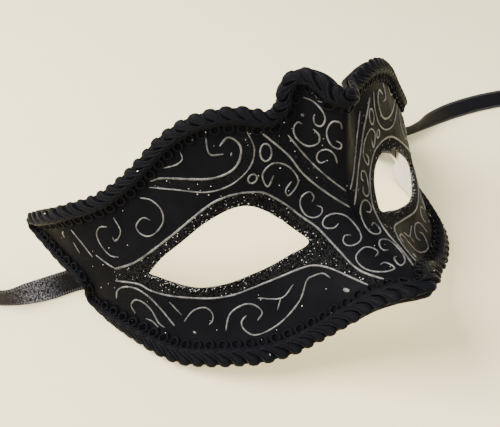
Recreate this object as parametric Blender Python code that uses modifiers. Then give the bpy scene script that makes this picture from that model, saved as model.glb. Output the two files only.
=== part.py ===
"""Masquerade half mask: a moulded shell with raised scrolls, a gimp braid round its edge and two ties.

The shell is one smooth surface over two numbers in millimetres: "along", the distance round the face
from the nose line, and "up", the height on the worn mask. The eye hole, the outline, the scrolls and
the braid are all drawn in those two numbers. The worn mask is then leaned back onto its cheek rims.
"""

import math

import bmesh
import bpy
import numpy as np

MM = 0.001
MERGE_DISTANCE = 0.00001

# Half plan of the worn mask at eye height, from the nose line to the end of the temple: across, back
PLAN_KNOTS = [
    (0.0, 5.8), (20.0, 9.1), (40.0, 19.0), (58.0, 33.6), (70.0, 46.0), (78.5, 58.5), (82.8, 71.0),
    (85.5, 86.0),
]
HALF_WIDTH = 82.6

# How the wall leans with height, in millimetres a millimetre: inwards at the front, outwards at the sides
FRONT_TAPER = 0.19
SIDE_FLARE = 0.38
FRONT_LEAN = 0.016
SIDE_LEAN = 0.108

# Features of the face: how far each comes forward, how wide it is, where it starts and how softly
BROW_KEEL = {"forward": 14.1, "width": 7.1, "start": 24.7, "soft": 11.1}
NOSE = {"forward": 98.0, "width": 17.6, "start": -26.3, "soft": 7.9}
CHEEK_LIP = {"forward": 12.1, "across": 50.3, "width": 46.4, "start": -34.7, "soft": 4.15}
EYE_SOCKET = {"back": 6.1, "across": 27.0, "up": 3.0, "radius": 16.0}

SHELL_WALL = 1.8

# Rings of the loft between outline and eye hole: at these distances from the outline, then evenly
EDGE_RINGS = (0.0, 3.0, 6.0, 9.0)
INNER_RINGS = 3

BRAID_WIDTH = 9.0
BRAID_THICKNESS = 2.3
BRAID_OVERHANG = 1.0
BRAID_PITCH = 4.7
BRAID_SCALLOP = 0.9
PIECE_GAP = 0.75

# The braid sits a little higher over the keel in the V
NOTCH_LIFT = 0.8
NOTCH_REACH = 5.0

# The band narrows where its inner edge would fold up: the share of the bend's radius that it may fill,
# and the share of its width that it keeps where the edge fans out
BEND_SHARE = 0.8
FAN_SHARE = 0.5
EVENING_WEIGHTS = (1.0, 2.0, 3.0, 2.0, 1.0)

# Section of the band: share of its width from the outer edge, share of its thickness
BRAID_SECTION = [(0.0, 0.0), (0.0, 0.6), (0.28, 1.0), (0.72, 0.92), (1.0, 0.4), (1.0, 0.0), (0.5, 0.0)]

RIBBON_WIDTH = 10.0
RIBBON_THICKNESS = 1.0
FLOOR_GAP = 0.2
WALL_BOW = 0.35

# Rest pose: the worn mask is turned back about X, then set on the surface
LEAN_BACK = math.radians(26.0)
REST_BACK = -23.8
REST_UP = 48.75

# Each tie: glued to the inner wall (along, up), falling from it (side, back, height, lean), then loose on
# the surface (side, back, lean)
LEFT_TIE = {
    "glued": [(93.0, -20.5), (98.0, -18.0), (103.0, -15.5)],
    "falling": [],
    "loose": [
        (76.2, 31.0, 6.0), (77.4, 35.4, 10.0), (82.5, 37.8, 15.0), (91.0, 38.6, 18.0),
        (99.0, 40.2, 19.0), (109.5, 45.6, 20.0), (117.0, 50.8, 20.0),
    ],
}
RIGHT_TIE = {
    "glued": [(99.0, -5.0), (103.0, -4.2), (106.5, -3.4)],
    "falling": [(78.2, 43.0, 12.5, 0.0), (81.2, 49.6, 7.5, 0.0)],
    "loose": [
        (88.0, 52.6, -5.0), (97.0, 53.0, -15.0), (107.0, 51.8, -22.0), (116.0, 51.9, -15.0), (128.0, 53.8, 5.0),
        (148.0, 55.2, 24.0), (168.0, 54.4, 32.0), (184.0, 51.8, 32.0), (196.0, 48.8, 30.0),
    ],
}

# Half outline from under the nose to the V over the brow: along, up, millimetres
CHEEK_EDGE = [
    (0.0, -21.0), (3.5, -21.2), (8.5, -22.3), (13.5, -25.0), (18.5, -29.5), (24.0, -34.5), (31.0, -38.4),
    (40.5, -39.6), (50.0, -39.0), (60.0, -38.4), (70.0, -37.5), (79.0, -34.9), (88.0, -31.1),
    (98.0, -26.9), (105.0, -23.0), (109.0, -19.0), (108.5, -15.5), (105.5, -12.5),
]
TEMPLE_EDGE = [
    (105.5, -12.5), (111.0, -9.0), (117.0, -4.5), (122.0, 1.0), (125.5, 7.0), (126.0, 12.0), (122.0, 16.0),
    (112.0, 17.9), (102.0, 19.2), (93.5, 20.5), (86.0, 21.5), (79.0, 23.5), (72.0, 27.0), (64.5, 32.0),
]

# The brow and the hump beside the V differ from side to side, as on the real one
BROW_EDGE = {
    "left": [(57.0, 37.3), (48.0, 41.0), (38.8, 42.0), (30.0, 40.9), (21.3, 37.8)],
    "right": [(57.0, 37.9), (48.0, 41.3), (38.8, 43.2), (30.0, 43.9), (21.3, 43.2)],
}
HUMP_EDGE = {
    "left": [
        (21.3, 37.8), (17.8, 40.4), (16.6, 44.2), (12.6, 47.6),
        (8.8, 48.2), (5.0, 45.4), (1.8, 40.8), (0.0, 39.4),
    ],
    "right": [(21.3, 43.2), (16.5, 42.1), (12.0, 41.1), (8.0, 40.5), (4.0, 40.0), (0.0, 39.4)],
}

# Eye hole in the matching stretches: lower lid, upper lid, above the inner corner, inner corner
LOWER_LID = [
    (21.2, -9.1), (27.7, -11.5), (34.8, -13.2), (44.0, -14.7), (53.6, -14.8), (61.0, -13.0), (73.0, -7.6),
]
UPPER_LID = [
    (73.0, -7.6), (65.8, -2.3), (57.0, 2.3), (48.5, 6.5), (40.0, 9.0), (33.8, 9.5), (28.9, 8.2), (24.6, 5.4),
]
BROW_CORNER = [(24.6, 5.4), (20.9, 1.7)]
NOSE_CORNER = [(20.9, 1.7), (18.0, -2.4), (15.8, -5.8), (17.1, -7.6), (21.2, -9.1)]

CHEEK_STEPS = 25
TEMPLE_STEPS = 24
HUMP_STEPS = 10
NOSE_LINE_STEPS = 12

# Raised scroll lines of the half: along, up
SCROLL_HEIGHT = 0.6
SCROLL_DEPTH = 0.6
SCROLL_WIDTH = 1.7
SCROLL_STEP = 4.4
SCROLLS = {
    "over_eye": [
        (84.5, -4.6), (75.8, -2.5), (62.6, 3.7), (50.7, 9.9), (43.1, 13.2), (36.1, 14.2), (29.8, 13.6),
        (24.8, 12.0), (19.0, 6.8), (11.9, -3.0), (9.9, -9.6),
    ],
    "under_eye": [
        (87.0, -9.0), (77.8, -10.5), (72.8, -13.4), (65.9, -15.8), (57.2, -17.5), (49.8, -18.5),
        (43.1, -18.5),
        (36.3, -17.5), (27.7, -15.8), (21.2, -14.0), (17.0, -13.6),
    ],
    "brow_outer": [(24.0, 31.5), (16.9, 23.3), (13.4, 17.0), (10.0, 12.1), (5.3, 6.2), (1.6, 2.0)],
    "brow_inner": [(15.5, 28.5), (10.7, 20.5), (5.6, 12.8), (1.6, 8.2)],
    "brow_loop": [
        (29.0, 32.5), (27.6, 27.7), (29.9, 21.9), (36.3, 17.8), (44.9, 17.1), (55.7, 19.9), (63.5, 22.0),
    ],
    "brow_curl": [
        (59.2, 24.3), (48.6, 22.6), (42.1, 21.4), (36.4, 22.1), (33.1, 24.8), (32.0, 29.0), (34.5, 32.0),
    ],
    "temple_curl": [
        (64.6, 17.9), (61.9, 14.3), (62.0, 10.2), (65.3, 6.9), (68.6, 5.9), (71.1, 7.3), (71.4, 10.2),
        (68.6, 11.9),
    ],
    "cheek_curl": [
        (90.4, -16.2), (88.1, -13.2), (83.9, -11.8), (78.9, -12.6), (75.0, -16.0), (71.5, -20.5),
        (68.8, -25.5),
    ],
    "cheek_wave": [
        (41.5, -26.5), (43.1, -29.6), (40.6, -31.0), (35.5, -30.5), (30.0, -28.0), (24.7, -23.0),
        (21.5, -18.2),
    ],
}


def rise(value, start, soft):
    """Goes smoothly from 0 well below start to 1 well above it."""
    return 1.0 / (1.0 + math.exp(-(value - start) / soft))


def bell(value, width):
    return math.exp(-((value / width) ** 2))


def curve_points(knots, pieces=16):
    """Closely spaced points on a smooth curve through the knots."""
    knots = [np.array(knot, float) for knot in knots]
    points = []
    for index in range(len(knots) - 1):
        start, end = knots[index], knots[index + 1]
        before = knots[index - 1] if index > 0 else 2 * start - end
        after = knots[index + 2] if index + 2 < len(knots) else 2 * end - start
        for share in np.linspace(0.0, 1.0, pieces, endpoint=False):
            points.append(0.5 * (
                2 * start + (end - before) * share
                + (2 * before - 5 * start + 4 * end - after) * share ** 2
                + (3 * start - before - 3 * end + after) * share ** 3))
    points.append(knots[-1])
    return np.array(points)


def distances(points):
    """Distance of each point from the first, along the line."""
    return np.concatenate([[0.0], np.cumsum(np.linalg.norm(np.diff(points, axis=0), axis=1))])


PLAN = curve_points(PLAN_KNOTS)
PLAN_LENGTHS = distances(PLAN)


def shell_point(along, up):
    """Outer surface of the worn mask in millimetres: x to the side, y back, z up; minus is on the left."""
    distance = abs(along)
    across = float(np.interp(distance, PLAN_LENGTHS, PLAN[:, 0]))
    back = float(np.interp(distance, PLAN_LENGTHS, PLAN[:, 1])) + max(0.0, distance - PLAN_LENGTHS[-1])
    side = across / HALF_WIDTH
    x = across + (SIDE_FLARE * side ** 5 - FRONT_TAPER * side) * up
    y = back + (FRONT_LEAN + SIDE_LEAN * side ** 2) * up
    y -= BROW_KEEL["forward"] * bell(x, BROW_KEEL["width"]) * rise(up, BROW_KEEL["start"], BROW_KEEL["soft"])
    y -= NOSE["forward"] * bell(x, NOSE["width"]) * rise(-up, -NOSE["start"], NOSE["soft"])
    lip = bell(x - CHEEK_LIP["across"], CHEEK_LIP["width"])
    y -= CHEEK_LIP["forward"] * lip * rise(-up, -CHEEK_LIP["start"], CHEEK_LIP["soft"])
    socket = bell(x - EYE_SOCKET["across"], EYE_SOCKET["radius"])
    y += EYE_SOCKET["back"] * socket * bell(up - EYE_SOCKET["up"], EYE_SOCKET["radius"])
    return np.array([-x if along < 0.0 else x, y, up])


def shell_normal(along, up):
    """Unit normal pointing out of the face."""
    step = 0.2
    across = shell_point(along + step, up) - shell_point(along - step, up)
    upward = shell_point(along, up + step) - shell_point(along, up - step)
    normal = np.cross(across, upward)
    return normal / np.linalg.norm(normal)


def smooth_line(knots, steps):
    """Points at equal distances on a smooth curve through the knots, ends included."""
    dense = curve_points(knots)
    lengths = distances(dense)
    wanted = np.linspace(0.0, lengths[-1], steps + 1)
    return np.stack([np.interp(wanted, lengths, dense[:, axis]) for axis in range(2)], axis=1)


def joined(*lines):
    """One line from lines that each start where the last one ended."""
    return np.concatenate([lines[0]] + [line[1:] for line in lines[1:]])


def edge_line(side, scale=1.0):
    """The outline of one half from under the nose to the V over the brow."""
    return joined(
        smooth_line(CHEEK_EDGE, round(CHEEK_STEPS * scale)),
        smooth_line(TEMPLE_EDGE + BROW_EDGE[side], round(TEMPLE_STEPS * scale)),
        smooth_line(HUMP_EDGE[side], round(HUMP_STEPS * scale)))


def new_object(name, mesh, collection, parent):
    thing = bpy.data.objects.new(name, mesh)
    collection.objects.link(thing)
    thing.parent = parent
    return thing


def plain_material(name, colour, roughness, metallic=0.0):
    material = bpy.data.materials.new(name)
    material.use_nodes = True
    shader = material.node_tree.nodes["Principled BSDF"]
    shader.inputs["Base Color"].default_value = (*colour, 1.0)
    shader.inputs["Roughness"].default_value = roughness
    shader.inputs["Metallic"].default_value = metallic
    return material


def ring_places(inner, outer):
    """Places on the line from the outline to the eye hole, outermost first."""
    span = float(np.linalg.norm(inner - outer))
    shares = [distance / span for distance in EDGE_RINGS]
    shares += list(np.linspace(shares[-1], 1.0, INNER_RINGS + 1)[1:])
    return [outer + (inner - outer) * share for share in shares]


def build_shell(collection, parent):
    """The shell, lofted in rings from the outline to each eye hole and given its wall."""
    eye = joined(
        smooth_line(LOWER_LID, CHEEK_STEPS),
        smooth_line(UPPER_LID, TEMPLE_STEPS),
        smooth_line(BROW_CORNER, HUMP_STEPS),
        smooth_line(NOSE_CORNER, NOSE_LINE_STEPS))[:-1]
    count = len(eye)
    mesh = bpy.data.meshes.new("mask_shell")
    form = bmesh.new()
    for side, sign in (("left", -1.0), ("right", 1.0)):
        nose_line = smooth_line([HUMP_EDGE[side][-1], CHEEK_EDGE[0]], NOSE_LINE_STEPS)
        outline = joined(edge_line(side), nose_line)[:-1]
        columns = [ring_places(inner, outer) for inner, outer in zip(eye, outline)]
        rings = [
            [form.verts.new(shell_point(sign * along, up) * MM) for along, up in places]
            for places in zip(*columns)]
        for vertex in rings[0][-NOSE_LINE_STEPS:] + [rings[0][0]]:
            vertex.co.x = 0.0
        for outer_ring, inner_ring in zip(rings, rings[1:]):
            for index in range(count):
                after = (index + 1) % count
                form.faces.new((inner_ring[index], outer_ring[index], outer_ring[after], inner_ring[after]))
    bmesh.ops.remove_doubles(form, verts=form.verts, dist=MERGE_DISTANCE)
    bmesh.ops.recalc_face_normals(form, faces=form.faces)
    form.to_mesh(mesh)
    form.free()
    shell = new_object("mask_shell", mesh, collection, parent)
    wall = shell.modifiers.new("wall", "SOLIDIFY")
    wall.thickness = SHELL_WALL * MM
    wall.offset = -1.0
    wall.use_even_offset = True
    mesh.shade_smooth()
    mesh.materials.append(plain_material("black_shell", (0.012, 0.012, 0.014), 0.38))
    return shell


def build_scrolls(shell, collection, parent):
    """Ridges that follow the surface, half sunk in it, joined to the shell."""
    mesh = bpy.data.meshes.new("scroll_ridges")
    form = bmesh.new()
    for knots in SCROLLS.values():
        length = distances(curve_points(knots))[-1]
        line = smooth_line(knots, max(3, round(length / SCROLL_STEP)))
        steps = np.gradient(line, axis=0)
        sideways = np.stack([-steps[:, 1], steps[:, 0]], axis=1)
        sideways /= np.linalg.norm(sideways, axis=1)[:, None]
        rings = []
        for place, side in zip(line, sideways):
            ring = []
            for across, lift in ((-0.5, -SCROLL_DEPTH), (0.0, SCROLL_HEIGHT), (0.5, -SCROLL_DEPTH)):
                along, up = place + side * across * SCROLL_WIDTH
                ring.append(form.verts.new((shell_point(along, up) + shell_normal(along, up) * lift) * MM))
            rings.append(ring)
        for ring, following in zip(rings, rings[1:]):
            for index in range(3):
                after = (index + 1) % 3
                form.faces.new((ring[index], ring[after], following[after], following[index]))
        form.faces.new(rings[0])
        form.faces.new(rings[-1])
    bmesh.ops.recalc_face_normals(form, faces=form.faces)
    form.to_mesh(mesh)
    form.free()
    ridges = new_object("scroll_ridges", mesh, collection, parent)
    ridges.hide_render = True
    ridges.display_type = "WIRE"
    both = ridges.modifiers.new("both_sides", "MIRROR")
    both.use_axis = (True, False, False)
    both.use_mirror_merge = False
    union = shell.modifiers.new("scrolls", "BOOLEAN")
    union.operation = "UNION"
    union.solver = "EXACT"
    union.object = ridges


def slope(loop):
    """Half the difference between the neighbours of each point of a closed loop."""
    return 0.5 * (np.roll(loop, -1, axis=0) - np.roll(loop, 1, axis=0))


def evened(loop, weights):
    """Values of a closed loop averaged with their neighbours."""
    reach = len(weights) // 2
    total = sum(weight * np.roll(loop, shift - reach, axis=0) for shift, weight in enumerate(weights))
    return total / sum(weights)


def inward_directions(line):
    """Unit directions in the along and up plane, from the edge into the mask, evened out round corners."""
    steps = slope(line)
    turned = np.stack([-steps[:, 1], steps[:, 0]], axis=1)
    inward = evened(turned / np.linalg.norm(turned, axis=1)[:, None], EVENING_WEIGHTS)
    return inward / np.linalg.norm(inward, axis=1)[:, None]


def band_widths(line, inward, widest):
    """Width of the band at each place: less where its inner edge would fold up or fan out."""
    stretch = np.linalg.norm(slope(line + inward), axis=1) / np.linalg.norm(slope(line), axis=1)
    tightness = np.maximum(1.0 - stretch, 0.001)
    spreading = np.maximum(stretch - 1.0, 0.001)
    fanned = FAN_SHARE * widest + BEND_SHARE / spreading
    widths = np.minimum(widest, np.minimum(BEND_SHARE / tightness, fanned))
    reach = len(EVENING_WEIGHTS) // 2
    lowest = np.min([np.roll(widths, shift) for shift in range(-reach, reach + 1)], axis=0)
    return evened(lowest, np.ones(len(EVENING_WEIGHTS)))


def build_braid(collection, parent):
    """The braid: one section at each dip and each crest of its scallops, closed into a loop."""
    edge = joined(edge_line("right", 12.0), edge_line("left", 12.0)[::-1] * (-1.0, 1.0))
    lengths = distances(np.array([shell_point(*point) for point in edge]))
    scallops = round(lengths[-1] / BRAID_PITCH)
    wanted = np.linspace(0.0, lengths[-1], 2 * scallops + 1)[:-1]
    line = np.stack([np.interp(wanted, lengths, edge[:, axis]) for axis in range(2)], axis=1)
    inward = inward_directions(line)
    widths = band_widths(line, inward, BRAID_WIDTH - BRAID_OVERHANG)
    notch = distances(np.array([shell_point(*point) for point in edge_line("right", 12.0)]))[-1]
    mesh = bpy.data.meshes.new("braid_trim")
    form = bmesh.new()
    rings = []
    for index, (place, direction, inner) in enumerate(zip(line, inward, widths)):
        outer = -BRAID_OVERHANG if index % 2 else BRAID_SCALLOP - BRAID_OVERHANG
        gap = PIECE_GAP + NOTCH_LIFT * bell(wanted[index] - notch, NOTCH_REACH)
        ring = []
        for across, height in BRAID_SECTION:
            along, up = place + direction * (outer + (inner - outer) * across)
            lift = gap + BRAID_THICKNESS * height
            ring.append(form.verts.new((shell_point(along, up) + shell_normal(along, up) * lift) * MM))
        rings.append(ring)
    for ring, following in zip(rings, rings[1:] + rings[:1]):
        for index in range(len(BRAID_SECTION)):
            after = (index + 1) % len(BRAID_SECTION)
            form.faces.new((ring[index], ring[after], following[after], following[index]))
    bmesh.ops.recalc_face_normals(form, faces=form.faces)
    form.to_mesh(mesh)
    form.free()
    braid = new_object("braid_trim", mesh, collection, parent)
    mesh.materials.append(plain_material("black_braid", (0.014, 0.014, 0.016), 0.75))
    return braid


def at_rest(point):
    """A place on the worn mask, in millimetres, as it lies on the surface."""
    x, y, z = point
    cos, sin = math.cos(LEAN_BACK), math.sin(LEAN_BACK)
    return np.array([x, REST_BACK + y * cos + z * sin, REST_UP - y * sin + z * cos])


def glued_station(along, up):
    """Middle of the ribbon against the inner wall, and the direction of its width."""
    normal = shell_normal(along, up)
    inside = SHELL_WALL + PIECE_GAP + WALL_BOW + 0.5 * RIBBON_THICKNESS
    middle = at_rest(shell_point(along, up) - normal * inside)
    above = at_rest(shell_point(along, up + 1.0) - normal * inside)
    return np.concatenate([middle, (above - middle) / np.linalg.norm(above - middle)])


def loose_station(side, back, lean, height=None):
    """Middle of the ribbon at a height, or standing on its edge on the surface, leaning back."""
    lean = math.radians(lean)
    if height is None:
        height = 0.5 * (RIBBON_WIDTH * math.cos(lean) + RIBBON_THICKNESS * math.sin(abs(lean))) + FLOOR_GAP
    return np.array([side, back, height, 0.0, math.sin(lean), math.cos(lean)])


def build_ribbon(name, tie, mirrored, collection):
    stations = [glued_station(*row) for row in tie["glued"]]
    stations += [loose_station(side, back, lean, height) for side, back, height, lean in tie["falling"]]
    stations += [loose_station(*row) for row in tie["loose"]]
    route = curve_points(stations, pieces=2)
    mesh = bpy.data.meshes.new(name)
    form = bmesh.new()
    rings = []
    for row, heading in zip(route, np.gradient(route[:, :3], axis=0)):
        heading /= np.linalg.norm(heading)
        width = row[3:] - heading * (row[3:] @ heading)
        width /= np.linalg.norm(width)
        thick = np.cross(heading, width)
        ring = []
        for across, through in ((-0.5, -0.5), (0.5, -0.5), (0.5, 0.5), (-0.5, 0.5)):
            corner = row[:3] + width * RIBBON_WIDTH * across + thick * RIBBON_THICKNESS * through
            if mirrored:
                corner[0] = -corner[0]
            ring.append(form.verts.new(corner * MM))
        rings.append(ring)
    for ring, following in zip(rings, rings[1:]):
        for index in range(4):
            after = (index + 1) % 4
            form.faces.new((ring[index], ring[after], following[after], following[index]))
    form.faces.new(rings[0])
    form.faces.new(rings[-1])
    bmesh.ops.recalc_face_normals(form, faces=form.faces)
    form.to_mesh(mesh)
    form.free()
    mesh.materials.append(plain_material(name + "_satin", (0.016, 0.016, 0.018), 0.4))
    return new_object(name, mesh, collection, None)


def main():
    for thing in list(bpy.data.objects):
        bpy.data.objects.remove(thing)
    parts = bpy.data.collections.new("masquerade_mask")
    bpy.context.scene.collection.children.link(parts)
    tools = bpy.data.collections.new("joined_shapes")
    bpy.context.scene.collection.children.link(tools)
    pose = bpy.data.objects.new("rest_pose", None)
    parts.objects.link(pose)
    pose.rotation_euler = (-LEAN_BACK, 0.0, 0.0)
    pose.location = (0.0, REST_BACK * MM, REST_UP * MM)
    shell = build_shell(parts, pose)
    build_scrolls(shell, tools, pose)
    build_braid(parts, pose)
    build_ribbon("ribbon_left", LEFT_TIE, True, parts)
    build_ribbon("ribbon_right", RIGHT_TIE, False, parts)


main()
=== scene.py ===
import math

import bpy
import numpy as np
from bpy.props import FloatProperty, FloatVectorProperty, PointerProperty
from bpy.types import Operator, Panel, PropertyGroup
from mathutils import Matrix, Vector


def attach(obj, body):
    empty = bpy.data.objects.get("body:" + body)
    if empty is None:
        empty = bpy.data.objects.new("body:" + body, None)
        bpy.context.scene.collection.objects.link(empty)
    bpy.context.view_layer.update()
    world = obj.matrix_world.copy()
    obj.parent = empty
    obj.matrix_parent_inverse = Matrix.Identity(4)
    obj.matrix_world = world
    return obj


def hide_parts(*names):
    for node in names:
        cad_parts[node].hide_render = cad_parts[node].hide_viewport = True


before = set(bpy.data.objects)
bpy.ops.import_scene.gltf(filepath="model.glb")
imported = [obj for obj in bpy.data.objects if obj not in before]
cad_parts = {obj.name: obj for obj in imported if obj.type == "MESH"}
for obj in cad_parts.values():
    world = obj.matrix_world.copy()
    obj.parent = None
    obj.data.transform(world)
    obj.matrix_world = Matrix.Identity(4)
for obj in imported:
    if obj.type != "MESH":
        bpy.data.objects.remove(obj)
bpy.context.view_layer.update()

bl_info = {
    "name": "Masquerade half mask",
    "version": (1, 0, 0),
    "blender": (4, 5, 0),
    "location": "View3D > Sidebar > Mask",
    "description": "Dresses a moulded half mask with silver scrolls, gimp braid and satin ties",
    "category": "Object",
}

MM = 0.001
MERGE_DISTANCE = 0.00002

# Half plan of the worn mask at eye height, from the nose line to the end of the temple: across, back
PLAN_KNOTS = [
    (0.0, 5.8), (20.0, 9.1), (40.0, 19.0), (58.0, 33.6), (70.0, 46.0), (78.5, 58.5), (82.8, 71.0),
    (85.5, 86.0),
]
HALF_WIDTH = 82.6

# How the wall leans with height, in millimetres a millimetre: inwards at the front, outwards at the sides
FRONT_TAPER = 0.19
SIDE_FLARE = 0.38
FRONT_LEAN = 0.016
SIDE_LEAN = 0.108

# Features of the face: how far each comes forward, how wide it is, where it starts and how softly
BROW_KEEL = {"forward": 14.1, "width": 7.1, "start": 24.7, "soft": 11.1}
NOSE = {"forward": 98.0, "width": 17.6, "start": -26.3, "soft": 7.9}
CHEEK_LIP = {"forward": 12.1, "across": 50.3, "width": 46.4, "start": -34.7, "soft": 4.15}
EYE_SOCKET = {"back": 6.1, "across": 27.0, "up": 3.0, "radius": 16.0}

# Rest pose: the worn mask is turned back about X, then set on the surface
LEAN_BACK = math.radians(26.0)
REST_BACK = -23.8
REST_UP = 48.75

SHELL_WALL = 1.8
NORMAL_STEP = 0.2

# Half outline from under the nose to the V over the brow: along, up. The brow and the hump beside the V
# differ from side to side, as on the real one.
CHEEK_EDGE = [
    (0.0, -21.0), (3.5, -21.2), (8.5, -22.3), (13.5, -25.0), (18.5, -29.5), (24.0, -34.5), (31.0, -38.4),
    (40.5, -39.6), (50.0, -39.0), (60.0, -38.4), (70.0, -37.5), (79.0, -34.9), (88.0, -31.1),
    (98.0, -26.9), (105.0, -23.0), (109.0, -19.0), (108.5, -15.5), (105.5, -12.5),
]
TEMPLE_EDGE = [
    (105.5, -12.5), (111.0, -9.0), (117.0, -4.5), (122.0, 1.0), (125.5, 7.0), (126.0, 12.0), (122.0, 16.0),
    (112.0, 17.9), (102.0, 19.2), (93.5, 20.5), (86.0, 21.5), (79.0, 23.5), (72.0, 27.0), (64.5, 32.0),
]
BROW_EDGE = {
    "left": [(57.0, 37.3), (48.0, 41.0), (38.8, 42.0), (30.0, 40.9), (21.3, 37.8)],
    "right": [(57.0, 37.9), (48.0, 41.3), (38.8, 43.2), (30.0, 43.9), (21.3, 43.2)],
}
HUMP_EDGE = {
    "left": [
        (21.3, 37.8), (17.8, 40.4), (16.6, 44.2), (12.6, 47.6), (8.8, 48.2), (5.0, 45.4), (1.8, 40.8),
        (0.0, 39.4),
    ],
    "right": [(21.3, 43.2), (16.5, 42.1), (12.0, 41.1), (8.0, 40.5), (4.0, 40.0), (0.0, 39.4)],
}

# Eye hole in the matching stretches: lower lid, upper lid, above the inner corner, inner corner
LOWER_LID = [
    (21.2, -9.1), (27.7, -11.5), (34.8, -13.2), (44.0, -14.7), (53.6, -14.8), (61.0, -13.0), (73.0, -7.6),
]
UPPER_LID = [
    (73.0, -7.6), (65.8, -2.3), (57.0, 2.3), (48.5, 6.5), (40.0, 9.0), (33.8, 9.5), (28.9, 8.2),
    (24.6, 5.4),
]
BROW_CORNER = [(24.6, 5.4), (20.9, 1.7)]
NOSE_CORNER = [(20.9, 1.7), (18.0, -2.4), (15.8, -5.8), (17.1, -7.6), (21.2, -9.1)]

# Steps of the fine shell along each stretch, and its rings from outline to eye hole
CHEEK_STEPS = 92
TEMPLE_STEPS = 100
HUMP_STEPS = 30
NOSE_LINE_STEPS = 40
SHELL_RINGS = 44
ON_NOSE_LINE = 0.001

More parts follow.
